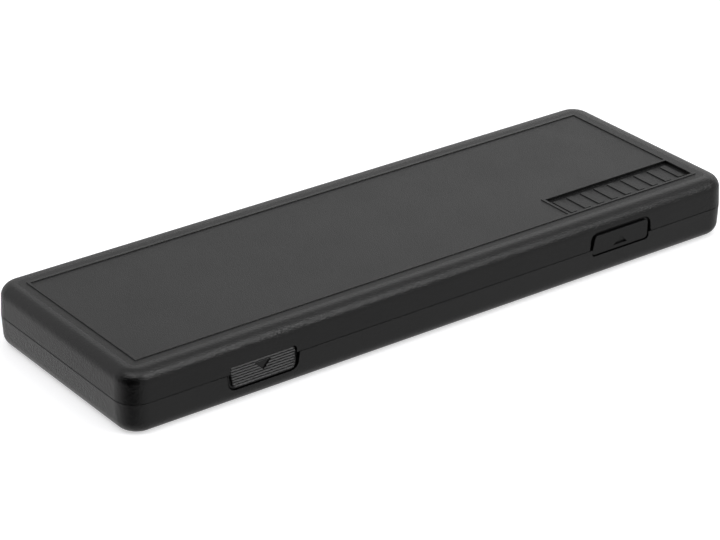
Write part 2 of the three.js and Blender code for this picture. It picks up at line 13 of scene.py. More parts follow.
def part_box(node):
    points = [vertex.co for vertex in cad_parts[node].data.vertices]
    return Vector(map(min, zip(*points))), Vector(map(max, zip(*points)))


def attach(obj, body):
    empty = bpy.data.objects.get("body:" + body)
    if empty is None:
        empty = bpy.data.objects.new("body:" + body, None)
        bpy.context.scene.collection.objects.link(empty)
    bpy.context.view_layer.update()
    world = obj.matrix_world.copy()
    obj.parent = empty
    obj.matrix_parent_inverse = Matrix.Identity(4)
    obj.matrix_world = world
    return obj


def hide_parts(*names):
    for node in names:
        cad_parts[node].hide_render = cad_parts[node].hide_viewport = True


MM = 0.001
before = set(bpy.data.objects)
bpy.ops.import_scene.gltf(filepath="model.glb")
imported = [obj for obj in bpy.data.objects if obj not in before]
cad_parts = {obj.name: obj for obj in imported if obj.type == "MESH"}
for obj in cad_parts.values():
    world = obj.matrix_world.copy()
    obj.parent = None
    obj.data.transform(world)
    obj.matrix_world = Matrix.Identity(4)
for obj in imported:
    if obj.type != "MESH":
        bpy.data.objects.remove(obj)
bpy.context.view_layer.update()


# ---------------------------------------------------------------- sizes in millimetres, from the frame

def box_mm(node):
    low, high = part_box(node)
    return low / MM, high / MM


def middle_of(low, high):
    return ((low.x + high.x) / 2, (low.y + high.y) / 2)


BASE_LOW, BASE_HIGH = box_mm("base_shell")
LID_HIGH = box_mm("lid_shell")[1]
LATCH_LOW, LATCH_HIGH = box_mm("lid_latch")
PIN_LOW, PIN_HIGH = box_mm("hinge_pin_right")
FOAM_LOW, FOAM_HIGH = box_mm("base_foam")
COVER_LOW, COVER_HIGH = box_mm("lid_foam")
WEIGHT_LOW, WEIGHT_HIGH = box_mm("calibration_weight")
UPPER_LOW, UPPER_HIGH = box_mm("upper_housing")
LOWER_LOW, LOWER_HIGH = box_mm("lower_housing")
PLATE_LOW, PLATE_HIGH = box_mm("weighing_plate")
CARRIER_LOW, CARRIER_HIGH = box_mm("plate_carrier")
WINDOW_LOW, WINDOW_HIGH = box_mm("display_window")
KEYS = {"power_key": "power_button", "tare_key": "tare_button", "mode_key": "mode_button",
        "count_key": "count_button"}

HINGE_X, HINGE_Y = middle_of(PIN_LOW, PIN_HIGH)
HINGE_OUT = 2.7
BARREL_R = 2.4
BORE_R = 1.15
KNUCKLE = 7.6
KNUCKLE_PITCH = 8
WEB_RISE = 1.6

LENGTH = BASE_HIGH.x - BASE_LOW.x
BACK_Y = HINGE_Y - HINGE_OUT
WIDTH = BACK_Y - BASE_LOW.y
CASE_Y = BACK_Y - WIDTH / 2
PARTING = (PIN_LOW.z + PIN_HIGH.z) / 2
BEAD_PROUD = 0.3
HEIGHT = LID_HIGH.z - BEAD_PROUD

# GAP is the room between neighbours. PAST is how far a cutter runs past the surface that it cuts, and ROOT is
# how far a bead or a rib reaches into the case that it joins.
GAP = 0.3
PAST = 1
ROOT = 0.3

SEAM = 0.1
RIM_EDGE = 0.08
WALL = 2.4
FLOOR = 2
CORNER = 7.9
CORNER_STEPS = 14
EDGE = 4.25
CAP_INSET = 1.2
FILLET = 1
FILLET_MIDDLE = 0.3
DRAFT = math.tan(math.radians(2.75))

# The base's inner lip: how far each corner lies inside the wall's inner face, and its height. It is drawn
# upside down, as the base is, so it stands past the parting where the height is below 0.
LIP = ((-0.3, 1.5), (-0.3, 0.6), (0.02, 0.3), (0.3, 0.1), (0.3, -1.2), (0.4, -1.3), (1.1, -1.3), (1.2, -1.2),
       (1.2, 1.5))

# The bead's shoulder: how far each point lies in from its side, and down from its top.
BEAD_LENGTH = 223.5
BEAD_WIDTH = 63.5
BEAD = 1
BEAD_SHOULDER = ((0, 0.14), (0.05, 0.04), (0.16, 0))
GROOVE_DEEP = 0.4
BADGE_LEFT = 56.4
BADGE_BACK = -16.7
BADGE_DEEP = 0.8
RIBS = 9
RIB_WIDTH = 2.6
RIB_HIGH = 0.3
RIB_MARGIN = 1.6
RIB_CORNER = 0.3
RIB_EDGE = 0.1

LATCH_X = -(LATCH_LOW.x + LATCH_HIGH.x) / 2
TONGUE_ROOT = LATCH_HIGH.z - PARTING
TONGUE_END = 4.9
STEP_END = PARTING - LATCH_LOW.z
TONGUE_ROOT_WIDTH = 24
TONGUE_END_WIDTH = 23
TONGUE_CORNER = 1.2
TONGUE_EDGE = 0.15
STEP_WIDTH = LATCH_HIGH.x - LATCH_LOW.x
STEP_START = 0.35
STEP_FRONT = 1.05
STEP_BACK = 1.35
STEP_CORNER = 2.6
STEP_EDGE = 0.1
TONGUE_THICK = 0.9
TONGUE_SUNK = 0.5
TONGUE_PROUD = 0.3
NOTCH_MOUTH = 26.4
NOTCH_END = 26
NOTCH_DEEP = 5.9
NOTCH_INSET = 1.6
NOTCH_CORNER = 3
NOTCH_FLARE = 0.35
NOTCH_EDGE = 0.35
ARROW_WIDTH = 6
ARROW_HEIGHT = 2.9
ARROW_DEEP = 0.62
ARROW_RISE = 0.9

# The grip's rows lie GRIP_PITCH apart. Every second crest lies GRIP_DIP deeper, and each GRIP_STEP swaps them
# over. RIDGE_START, RIDGE_CREST and RIDGE_END are where a ridge's points lie within its row.
GRIP_PITCH = 0.85
GRIP_STEP = 1.3
GRIP_DEEP = 0.32
GRIP_DIP = 0.2
GRIP_MARGIN = 0.2
GRIP_ROOT = 0.2
RIDGE_START = 0.16
RIDGE_CREST = (0.36, 0.41, 0.47)
RIDGE_ROUND = 0.03
RIDGE_END = 0.8

FOAM_CORNER = 4
FOAM_VOXEL = 0.9
RIPPLE_LENGTH = 9
RIPPLE_SINK = 0.6
BASE_ROOM = 0.4
BASE_WEIGHT_ROOM = 0.5
LID_ROOM = 0.6
LID_WEIGHT_ROOM = 1
LID_FOAM_CEILING = 16.4
SCOOP_LENGTH = 24
SCOOP_PAST = 10.4
SLOT_LENGTH = 16
SLOT_WIDTH = 58
SLOT_CORNER = 7.5

# The weight's turned face and foot: how far each point lies in from the rim, and how far from that flat face.
WEIGHT_FOOT = ((1, 0), (0.3, 0.25), (0, 0.8))
WEIGHT_RIM = ((0, 0.8), (0.3, 0.25), (0.9, 0), (3, 0), (3.25, 0.1), (3.6, 0.5))
WEIGHT_RING = ((11, 0.5), (11.2, 0.6), (11.5, 0.6), (11.7, 0.5))
WEIGHT_DISH = 0.5
WEIGHT_CENTRE = 0.5

SCALE_EDGE = 0.8
SCALE_CORNER = 6
ROOF = 1.3
COVER_WALL = 1.4
COVER_INNER_CORNER = 4.6
WINDOW_CORNER = 1.5
WINDOW_LEDGE = 1.2
VIEW_CORNER = 1
CARRIER_ROOM = 0.5
CARRIER_CORNER = 3
FRAME_OUTER = 1.3
FRAME_INNER = 0.9
FRAME_DEEP = 0.25
PLATE_CORNER = 5
PLATE_EDGE = 0.35

# A key's dome: how far each point lies below the top, and in from the side.
KEY_FLANGE = 1
KEY_FLANGE_LOW = 0.2
KEY_FLANGE_HIGH = 1
KEY_CORNER = 1.4
KEY_HOLE_CORNER = 1.6
KEY_CROWN = 0.55
KEY_EDGE = 0.35
KEY_DOME = ((0.12, 1.0), (0.05, 1.7), (0, 2.6))


# ---------------------------------------------------------------- mesh helpers, in millimetres

def make(name, vertices, faces):
    mesh = bpy.data.meshes.new(name)
    mesh.from_pydata([tuple(v) for v in vertices], [], faces)
    mesh.update()
    piece = bpy.data.objects.new(name, mesh)
    bpy.context.scene.collection.objects.link(piece)
    return piece


def rounded(length, width, radius, steps=10, centre=(0, 0)):
    """The corners of a rounded rectangle, anticlockwise."""
    points = []
    for quarter, (sx, sy) in enumerate(((1, 1), (-1, 1), (-1, -1), (1, -1))):
        cx = centre[0] + sx * (length / 2 - radius)
        cy = centre[1] + sy * (width / 2 - radius)
        for i in range(steps + 1):
            angle = (quarter + i / steps) * math.pi / 2
            points.append((cx + radius * math.cos(angle), cy + radius * math.sin(angle)))
    return points


def loft(name, rings):
    """A closed solid through rings of equally many points, with a flat face on the first and the last."""
    count = len(rings[0])
    vertices = [point for ring in rings for point in ring]
    faces = [tuple(reversed(range(count)))]
    for level in range(len(rings) - 1):
        start = level * count
        for i in range(count):
            j = (i + 1) % count
            faces.append((start + i, start + j, start + count + j, start + count + i))
    last = (len(rings) - 1) * count
    faces.append(tuple(range(last, last + count)))
    piece = make(name, vertices, faces)
    outward(piece)
    return piece


def outward(piece):
    mesh = bmesh.new()
    mesh.from_mesh(piece.data)
    bmesh.ops.recalc_face_normals(mesh, faces=mesh.faces)
    mesh.to_mesh(piece.data)
    mesh.free()


def prism(name, outline, low, high, up="Z"):
    """An outline pushed from one height to another, along Z, or along Y for an outline in X and Z."""
    return loft(name, [[(x, h, y) if up == "Y" else (x, y, h) for x, y in outline] for h in (low, high)])


def soft_prism(name, length, width, corner, low, high, edge, centre=(0, 0), steps=8, both=False):
    """A rounded slab whose upper edge, or both edges, are rounded over."""
    angles = [i / 6 * math.pi / 2 for i in range(7)]
    arc = [(edge * math.sin(a), edge * (1 - math.cos(a))) for a in angles]
    levels = [(high - edge + rise, inset) for rise, inset in arc]
    if both:
        levels = [(low + edge - rise, inset) for rise, inset in reversed(arc)] + levels
    else:
        levels = [(low, 0)] + levels
    rings = []
    for height, inset in levels:
        outline = rounded(length - 2 * inset, width - 2 * inset, max(corner - inset, 0.05), steps, centre)
        rings.append([(x, y, height) for x, y in outline])
    return loft(name, rings)


def cylinder(name, radius, start, end, sides=48):
    """A plain rod between two points, used as a cutter or joined into a larger piece."""
    start, end = Vector(start), Vector(end)
    axis = (end - start).normalized()
    side = axis.orthogonal().normalized()
    other = axis.cross(side)
    angles = [2 * math.pi * i / sides for i in range(sides)]
    rings = []
    for centre in (start, end):
        rings.append([centre + radius * (side * math.cos(a) + other * math.sin(a)) for a in angles])
    return loft(name, rings)


def turned(name, profile, sides=96, centre=(0, 0)):
    """A turned solid through (radius, height) points, with a flat face at the first and the last."""
    x, y = centre
    angles = [2 * math.pi * i / sides for i in range(sides)]
    rings = []
    for radius, height in profile:
        rings.append([(x + radius * math.cos(a), y + radius * math.sin(a), height) for a in angles])
    return loft(name, rings)


def boolean(target, others, operation):
    for other in others:
        change = target.modifiers.new("change", "BOOLEAN")
        change.object = other
        change.operation = operation
        change.solver = "EXACT"
    bake_modifiers(target)
    for other in others:
        bpy.data.objects.remove(other)
    return target


def bake_modifiers(piece):
    graph = bpy.context.evaluated_depsgraph_get()
    graph.update()
    mesh = bpy.data.meshes.new_from_object(piece.evaluated_get(graph))
    piece.modifiers.clear()
    piece.data = mesh


def each_vertex(piece, change):
    for vertex in piece.data.vertices:
        vertex.co = change(vertex.co)


def settle(piece, body, slot, *nodes, dy=0.0, smooth=32):
    """Scales a finished piece to metres, puts it in the row frame and ties it to its body."""
    each_vertex(piece, lambda v: Vector((v.x, v.y + dy, v.z)) * MM)
    piece.data.shade_smooth()
    piece.data.set_sharp_from_angle(angle=math.radians(smooth))
    weighted = piece.modifiers.new("weighted", "WEIGHTED_NORMAL")
    weighted.keep_sharp = True
    weighted.weight = 100
    bake_modifiers(piece)
    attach(piece, body)
    if nodes:
        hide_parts(*nodes)
    return piece


def flip(piece):
    """Turns a half or a tongue by 180 degrees about Y, which swaps above and below the parting."""
    each_vertex(piece, lambda v: Vector((-v.x, v.y, -v.z)))
    return piece


# ---------------------------------------------------------------- the case, z counted from the parting

def case_half(name, height):
    """Outer skin from the panel down to the parting edge, across the rim, and up the inside."""
    rings = []

    def ring(z, inset):
        corner = max(CORNER - inset, 0.4)
        outline = rounded(LENGTH - 2 * inset, WIDTH - 2 * inset, corner, CORNER_STEPS)
        rings.append([(x, y, z) for x, y in outline])

    top = height - EDGE
    ring(height, EDGE + DRAFT * top + CAP_INSET)
    for i in range(13):
        angle = math.pi / 2 * (1 - i / 12)
        ring(top + EDGE * math.sin(angle), DRAFT * top + EDGE * (1 - math.cos(angle)))
    for i in range(4):
        angle = math.pi / 2 * i / 3
        ring(SEAM + RIM_EDGE * (1 - math.sin(angle)), DRAFT * SEAM + RIM_EDGE * (1 - math.cos(angle)))
    ring(SEAM, WALL - RIM_EDGE)
    ring(SEAM + RIM_EDGE, WALL)
    ring(height - FLOOR - FILLET, WALL)
    ring(height - FLOOR - FILLET_MIDDLE, WALL + FILLET_MIDDLE)
    ring(height - FLOOR, WALL + FILLET)
    return loft(name, rings)


def knuckles():
    """This half's hinge barrels: two at one end and the middle one at the other, each on its web."""
    y = WIDTH / 2 + HINGE_OUT
    root = WIDTH / 2 - WALL / 2
    web = [(root, GAP / 2), (y, GAP / 2), (y, BARREL_R), (root, BARREL_R + WEB_RISE)]
    pieces = []
    for x in (HINGE_X - KNUCKLE_PITCH, HINGE_X + KNUCKLE_PITCH, -HINGE_X):
        x0, x1 = x - KNUCKLE / 2, x + KNUCKLE / 2
        barrel = cylinder("barrel", BARREL_R, (x0, y, 0), (x1, y, 0))
        rings = [[(end, *point) for point in web] for end in (x0, x1)]
        pieces.append(boolean(barrel, [loft("web", rings)], "UNION"))
    return pieces


def hinge_bore():
    y = WIDTH / 2 + HINGE_OUT
    return cylinder("bore", BORE_R, (-LENGTH, y, 0), (LENGTH, y, 0))


def notch_outline(grow=0.0):
    """The recess for the other half's tongue: flared at its mouth, with large far corners."""
    mouth, end, deep = NOTCH_MOUTH / 2 + grow, NOTCH_END / 2 + grow, NOTCH_DEEP + grow
    corner = NOTCH_CORNER + grow
    right = [(mouth + NOTCH_FLARE, -PAST), (mouth + NOTCH_FLARE, 0), (mouth, NOTCH_FLARE)]
    for i in range(13):
        angle = i / 12 * math.pi / 2
        right.append((end - corner + corner * math.cos(angle), deep - corner + corner * math.sin(angle)))
    return right + [(-x, z) for x, z in reversed(right)]


def notch_cutter():
    """The recess as a cutter: its edge at the case's front face is rounded over."""
    face = -WIDTH / 2
    steps = 6
    depths = [(-PAST, NOTCH_EDGE)]
    for i in range(steps + 1):
        angle = i / steps * math.pi / 2
        depths.append((NOTCH_EDGE * (1 - math.cos(angle)), NOTCH_EDGE * (1 - math.sin(angle))))
    depths.append((NOTCH_INSET, 0))
    rings = []
    for depth, grow in depths:
        rings.append([(x + LATCH_X, face + depth, z) for x, z in notch_outline(grow)])
    return loft("notch", rings)


def tongue_outline(grow=0.0):
    """The tongue's pad hangs from its root, so it runs from +TONGUE_ROOT down to -TONGUE_END."""
    root = TONGUE_ROOT_WIDTH / 2 + grow
    end = TONGUE_END_WIDTH / 2 + grow
    top, bottom = TONGUE_ROOT + grow, -TONGUE_END - grow
    corner = TONGUE_CORNER
    right = []
    for i in range(7):
        angle = i / 6 * math.pi / 2
        right.append((end - corner + corner * math.sin(angle), bottom + corner - corner * math.cos(angle)))
    for i in range(5):
        angle = i / 4 * math.pi / 2
        right.append((root - corner + corner * math.cos(angle), top - corner + corner * math.sin(angle)))
    return right + [(-x, z) for x, z in reversed(right)]


def step_outline(grow=0.0):
    """The wider step behind the pad, which fills the other half's notch."""
    half, corner = STEP_WIDTH / 2 + grow, STEP_CORNER + grow
    bottom = -STEP_END - grow
    right = []
    for i in range(9):
        angle = i / 8 * math.pi / 2
        right.append((half - corner + corner * math.sin(angle), bottom + corner * (1 - math.cos(angle))))
    right.append((half, -STEP_START + grow))
    return right + [(-x, z) for x, z in reversed(right)]


def latch_cutters():
    """One pocket for this half's own tongue, and one notch for the other half's."""
    front = -WIDTH / 2
    behind = front + TONGUE_SUNK + TONGUE_THICK + GAP
    pocket = [(x - LATCH_X, z) for x, z in tongue_outline(GAP)]
    return [prism("pocket", pocket, front - PAST, behind, up="Y"), notch_cutter()]


def bead_path(points, closed, panel):
    """A raised bead with softened shoulders along a rectangular path; its middle line is given."""
    half = BEAD / 2
    section = [(-half, -ROOT), (half, -ROOT)]
    section += [(half - inset, BEAD_PROUD - drop) for inset, drop in BEAD_SHOULDER]
    section += [(-half + inset, BEAD_PROUD - drop) for inset, drop in reversed(BEAD_SHOULDER)]
    count = len(points)
    rings = []
    for i, point in enumerate(points):
        here = Vector(point)
        before = Vector(points[i - 1]) if closed or i else None
        after = Vector(points[(i + 1) % count]) if closed or i < count - 1 else None
        run_in = (here - before).normalized() if before else (after - here).normalized()
        run_out = (after - here).normalized() if after else run_in
        side = Vector((-run_in.y, run_in.x)) + Vector((-run_out.y, run_out.x))
        side *= 2 / side.length_squared
        rings.append([(here.x + side.x * s, here.y + side.y * s, panel + z) for s, z in section])
    if not closed:
        return loft("bead", rings)
    width = len(section)
    faces = []
    for i in range(count):
        for j in range(width):
            a, b = i * width, ((i + 1) % count) * width
            k = (j + 1) % width
            faces.append((a + j, b + j, b + k, a + k))
    piece = make("bead", [v for ring in rings for v in ring], faces)
    outward(piece)
    return piece


def beads(panel):
    x = BEAD_LENGTH / 2 - BEAD / 2
    y = BEAD_WIDTH / 2 - BEAD / 2
    left = BADGE_LEFT + BEAD / 2
    back = BADGE_BACK - BEAD / 2
    main = bead_path([(x, y), (-x, y), (-x, -y), (x, -y)], True, panel)
    badge = bead_path([(x, back), (left, back), (left, -y)], False, panel)
    return main, badge


def badge_cutter(panel):
    right = BEAD_LENGTH / 2 - BEAD
    left = BADGE_LEFT + BEAD
    front = -BEAD_WIDTH / 2 + BEAD
    back = BADGE_BACK - BEAD
    outline = [(left, front), (right, front), (right, back), (left, back)]
    return prism("sunk", outline, panel - BADGE_DEEP, panel + 2 * PAST)


def badge_ribs(panel):
    """A plain row of upright ribs on the floor of the sunk badge."""
    right = BEAD_LENGTH / 2 - BEAD
    left = BADGE_LEFT + BEAD
    pitch = (right - left) / RIBS
    front = -BEAD_WIDTH / 2 + BEAD + RIB_MARGIN
    back = BADGE_BACK - BEAD - RIB_MARGIN
    centre_y = (front + back) / 2
    low, high = panel - BADGE_DEEP - ROOT, panel - BADGE_DEEP + RIB_HIGH
    ribs = []
    for i in range(RIBS):
        centre = (left + (i + 0.5) * pitch, centre_y)
        ribs.append(soft_prism("rib", RIB_WIDTH, back - front, RIB_CORNER, low, high, RIB_EDGE, centre, 3))
    return ribs


def lid_case():
    panel = HEIGHT - PARTING
    lid = case_half("lid_case", panel)
    boolean(lid, knuckles(), "UNION")
    main, badge = beads(panel)
    boolean(lid, [main], "UNION")
    boolean(lid, [badge], "UNION")
    boolean(lid, [badge_cutter(panel), hinge_bore(), *latch_cutters()], "DIFFERENCE")
    boolean(lid, badge_ribs(panel), "UNION")
    return lid


def rectangle_groove(panel):
    """The groove under the base, as a cutter. It mirrors the bead on the lid."""
    x = BEAD_LENGTH / 2
    y = BEAD_WIDTH / 2
    outer = prism("groove", [(x, y), (-x, y), (-x, -y), (x, -y)], panel - GROOVE_DEEP, panel + PAST)
    x, y = x - BEAD, y - BEAD
    inner = prism("island", [(x, y), (-x, y), (-x, -y), (x, -y)], panel - PAST, panel + 2 * PAST)
    return boolean(outer, [inner], "DIFFERENCE")


def rim_lip():
    """The base's inner lip, which stands inside the lid's wall and hides the inside at the parting."""
    rings = []
    for inset, z in LIP:
        reach = WALL + inset
        outline = rounded(LENGTH - 2 * reach, WIDTH - 2 * reach, CORNER - reach, CORNER_STEPS)
        rings.append([(x, y, z) for x, y in outline])
    count = len(rings[0])
    vertices = [v for ring in rings for v in ring]
    faces = []
    for level in range(len(rings)):
        a, b = level * count, ((level + 1) % len(rings)) * count
        faces += [(a + i, a + (i + 1) % count, b + (i + 1) % count, b + i) for i in range(count)]
    lip = make("lip", vertices, faces)
    outward(lip)
    return lip


def base_case():
    base = case_half("base_case", PARTING)
    boolean(base, [*knuckles(), rim_lip()], "UNION")
    boolean(base, [rectangle_groove(PARTING), hinge_bore(), *latch_cutters()], "DIFFERENCE")
    return flip(base)


# ---------------------------------------------------------------- latch tongues

def grip_profile(low_z, high_z, back, station):
    """One section of the grip: every second crest lies lower, and the next section swaps them over."""
    lower, top, upper = RIDGE_CREST
    profile = [(back, low_z), (GRIP_DEEP, low_z)]
    for i in range(int((high_z - low_z) / GRIP_PITCH)):
        z = low_z + i * GRIP_PITCH
        crest = GRIP_DIP * ((i + station) % 2)
        shoulder = crest + RIDGE_ROUND
        profile += [(GRIP_DEEP, z + RIDGE_START), (shoulder, z + lower), (crest, z + top)]
        profile += [(shoulder, z + upper), (GRIP_DEEP, z + RIDGE_END)]
    return profile + [(GRIP_DEEP, high_z), (back, high_z)]


def grip_ribs(half_x, low_z, high_z, back):
    """Rows of short staggered ridges with crests at y 0. Their upper flanks are the shallower ones."""
    count = round(2 * half_x / GRIP_STEP)
    rings = []
    for station in range(count + 1):
        x = -half_x + 2 * half_x * station / count
        rings.append([(x, y, z) for y, z in grip_profile(low_z, high_z, back, station)])
    return loft("grip", rings)


def arrow_outline():
    """A triangle that points to the tongue's free end."""
    middle = -ARROW_HEIGHT / 2 + ARROW_RISE
    top = middle + ARROW_HEIGHT / 2
    return [(-ARROW_WIDTH / 2, top), (0, middle - ARROW_HEIGHT / 2), (ARROW_WIDTH / 2, top)]


def edged(name, outline, back, front, edge):
    """A plate facing -Y whose front edge is rounded over."""
    levels = [(back, 0)]
    for i in range(5):
        angle = i / 4 * math.pi / 2
        levels.append((front + edge * (1 - math.sin(angle)), -edge * (1 - math.cos(angle))))
    return loft(name, [[(x, y, z) for x, z in outline(grow)] for y, grow in levels])


def tongue(name, ribbed):
    """The tongue as it lies on the lid: root up, free end down. Its front is drawn at y 0 and then leans."""
    face = GRIP_DEEP if ribbed else 0
    plate = edged(name, tongue_outline, TONGUE_THICK, face, TONGUE_EDGE)
    boolean(plate, [edged("step", step_outline, STEP_BACK, STEP_FRONT, STEP_EDGE)], "UNION")
    if ribbed:
        grip = grip_ribs(TONGUE_ROOT_WIDTH / 2, -TONGUE_END, TONGUE_ROOT, TONGUE_THICK - GRIP_ROOT)
        window = prism("window", tongue_outline(-GRIP_MARGIN), -PAST, TONGUE_THICK - GRIP_ROOT / 2, up="Y")
        boolean(plate, [boolean(grip, [window], "INTERSECT")], "UNION")
    boolean(plate, [prism("arrow", arrow_outline(), -PAST, ARROW_DEEP, up="Y")], "DIFFERENCE")
    slope = (TONGUE_SUNK + TONGUE_PROUD) / (TONGUE_ROOT + TONGUE_END)

    def lean(v):
        return Vector((v.x, v.y - WIDTH / 2 + TONGUE_SUNK - slope * (TONGUE_ROOT - v.z), v.z))

    each_vertex(plate, lean)
    return plate


# ---------------------------------------------------------------- foam liners and the weight

def soften(piece, ripple, seed):
    """Turns a sharp-cut solid into cut foam: soft edges and a slightly uneven skin."""
    remesh = piece.modifiers.new("remesh", "REMESH")
    remesh.mode = "VOXEL"
    remesh.voxel_size = FOAM_VOXEL
    smooth = piece.modifiers.new("smooth", "SMOOTH")
    smooth.factor = 0.6
    smooth.iterations = 3
    bake_modifiers(piece)
    shift = Vector((seed, 2 * seed, 3 * seed))

    def uneven(v):
        wave = noise.noise(Vector((v.x / RIPPLE_LENGTH, v.y / RIPPLE_LENGTH, v.z / RIPPLE_LENGTH)) + shift)
        return Vector((v.x, v.y, v.z + ripple * (wave - RIPPLE_SINK)))

    each_vertex(piece, uneven)
    return piece


def opening(low, high, reach, corner, bottom, top, steps=5):
    """A straight-sided cutter round a box, larger than it by the reach on every side."""
    length = high.x - low.x + 2 * reach
    width = high.y - low.y + 2 * reach
    return prism("opening", rounded(length, width, corner, steps, middle_of(low, high)), bottom, top)


def foam_block(name, low, high):
    outline = rounded(high.x - low.x, high.y - low.y, FOAM_CORNER, 6, middle_of(low, high))
    return prism(name, outline, low.z, high.z)


def weight_pocket(foam_y, room, bottom, top):
    weight_x = middle_of(WEIGHT_LOW, WEIGHT_HIGH)[0]
    radius = (WEIGHT_HIGH.x - WEIGHT_LOW.x) / 2 + room
    return cylinder("disc", radius, (weight_x, foam_y, bottom), (weight_x, foam_y, top))


def base_liner():
    """Fits the scale and the weight, with a finger scoop across each."""
    liner = foam_block("liner_base", FOAM_LOW, FOAM_HIGH)
    foam_y = middle_of(FOAM_LOW, FOAM_HIGH)[1]
    floor = WEIGHT_LOW.z - GAP
    top = FOAM_HIGH.z + PAST
    scale_x = middle_of(LOWER_LOW, LOWER_HIGH)[0]
    weight_x = middle_of(WEIGHT_LOW, WEIGHT_HIGH)[0]
    scale = opening(LOWER_LOW, LOWER_HIGH, BASE_ROOM, SCALE_CORNER, floor, top, steps=6)
    scoop_width = LOWER_HIGH.y - LOWER_LOW.y + SCOOP_PAST
    scoop = prism("scoop", rounded(SCOOP_LENGTH, scoop_width, FOAM_CORNER, 6, (scale_x, foam_y)), floor, top)
    disc = weight_pocket(foam_y, BASE_WEIGHT_ROOM, floor, top)
    slot = prism("slot", rounded(SLOT_LENGTH, SLOT_WIDTH, SLOT_CORNER, 8, (weight_x, foam_y)), floor, top)
    boolean(liner, [scale, scoop, disc, slot], "DIFFERENCE")
    return soften(liner, 0.25, 1)


def lid_liner():
    liner = foam_block("liner_lid", COVER_LOW, COVER_HIGH)
    foam_y = middle_of(COVER_LOW, COVER_HIGH)[1]
    bottom = COVER_LOW.z - PAST
    scale = opening(UPPER_LOW, UPPER_HIGH, LID_ROOM, SCALE_CORNER, bottom, LID_FOAM_CEILING, steps=6)
    disc = weight_pocket(foam_y, LID_WEIGHT_ROOM, bottom, LID_FOAM_CEILING)
    boolean(liner, [scale, disc], "DIFFERENCE")
    return soften(liner, 0.2, 2)


def weight_disc():
    """A flat steel disc with rounded edges, a dished face and a fine turned ring in the dish."""
    low, high = WEIGHT_LOW, WEIGHT_HIGH
    radius = (high.x - low.x) / 2
    profile = [(radius - inward, low.z + rise) for inward, rise in WEIGHT_FOOT]
    profile += [(radius - inward, high.z - drop) for inward, drop in WEIGHT_RIM + WEIGHT_RING]
    profile.append((WEIGHT_CENTRE, high.z - WEIGHT_DISH))
    return turned("weight_disc", profile, centre=middle_of(low, high))


# ---------------------------------------------------------------- the scale

def slab_over(name, low, high, corner, edge, both=False):
    """A soft-edged slab that fills a node's box."""
    length, width = high.x - low.x, high.y - low.y
    return soft_prism(name, length, width, corner, low.z, high.z, edge, middle_of(low, high), both=both)


def top_cover():
    """The upper housing: a shell with holes for the plate's carrier, the window and the keys."""
    cover = slab_over("top_cover", UPPER_LOW, UPPER_HIGH, SCALE_CORNER, SCALE_EDGE)
    top = UPPER_HIGH.z + PAST
    ceiling = UPPER_HIGH.z - ROOF
    below = ceiling - PAST
    inside = opening(UPPER_LOW, UPPER_HIGH, -COVER_WALL, COVER_INNER_CORNER, UPPER_LOW.z - PAST, ceiling)
    seat = opening(WINDOW_LOW, WINDOW_HIGH, GAP, WINDOW_CORNER, WINDOW_LOW.z - GAP, top)
    view = opening(WINDOW_LOW, WINDOW_HIGH, -WINDOW_LEDGE, VIEW_CORNER, below, top)
    plate = opening(CARRIER_LOW, CARRIER_HIGH, CARRIER_ROOM, CARRIER_CORNER, below, top)
    boolean(cover, [inside], "DIFFERENCE")
    boolean(cover, [seat, plate], "DIFFERENCE")
    holes = [view]
    for node in KEYS:
        holes.append(opening(*box_mm(node), GAP - KEY_FLANGE, KEY_HOLE_CORNER, below, top))
    boolean(cover, holes, "DIFFERENCE")
    return boolean(cover, [frame_line(top)], "DIFFERENCE")


def frame_line(top):
    """A shallow groove round the window, as a cutter."""
    box = (WINDOW_LOW, WINDOW_HIGH)
    groove = opening(*box, FRAME_OUTER, FRAME_OUTER + FRAME_INNER, UPPER_HIGH.z - FRAME_DEEP, top)
    island = opening(*box, FRAME_INNER, 2 * FRAME_INNER, UPPER_HIGH.z - PAST, top + PAST)
    return boolean(groove, [island], "DIFFERENCE")


def key_cap(node):
    """A domed key with a rounded edge, on the flange that keeps it in the housing."""
    low, high = box_mm(node)
    centre = middle_of(low, high)
    length, width = high.x - low.x - 2 * KEY_FLANGE, high.y - low.y - 2 * KEY_FLANGE
    crown = high.z - KEY_CROWN
    levels = [(low.z, 0), (crown, 0)]
    levels += [(crown + KEY_EDGE * math.sin(a), KEY_EDGE * (1 - math.cos(a))) for a in (0.4, 0.8, 1.2, 1.57)]
    levels += [(high.z - drop, inset) for drop, inset in KEY_DOME]
    rings = []
    for z, inset in levels:
        outline = rounded(length - 2 * inset, width - 2 * inset, max(KEY_CORNER - inset, 0.3), 6, centre)
        rings.append([(x, y, z) for x, y in outline])
    cap = loft(node.replace("_key", "_keycap"), rings)
    outline = rounded(length + 2 * KEY_FLANGE, width + 2 * KEY_FLANGE, 1, 4, centre)
    flange = prism("flange", outline, low.z + KEY_FLANGE_LOW, low.z + KEY_FLANGE_HIGH)
    return boolean(cap, [flange], "UNION")


# ---------------------------------------------------------------- materials

def material(name):
    made = bpy.data.materials.new(name)
    made.use_nodes = True
    tree = made.node_tree
    shader = tree.nodes["Principled BSDF"]
    return made, tree, shader


def link(tree, source, target):
    tree.links.new(source, target)


def node_of(tree, kind, **inputs):
    node = tree.nodes.new(kind)
    for key, value in inputs.items():
        node.inputs[key.replace("_", " ")].default_value = value
    return node


def coordinates(tree, stretch=(1, 1, 1)):
    place = tree.nodes.new("ShaderNodeTexCoord")
    mapping = tree.nodes.new("ShaderNodeMapping")
    mapping.inputs["Scale"].default_value = stretch
    link(tree, place.outputs["Object"], mapping.inputs["Vector"])
    return mapping.outputs["Vector"]


def grain(tree, vector, scale, detail=2.0, roughness=0.5):
    made = node_of(tree, "ShaderNodeTexNoise", Scale=scale, Detail=detail, Roughness=roughness)
    link(tree, vector, made.inputs["Vector"])
    return made.outputs["Fac"]


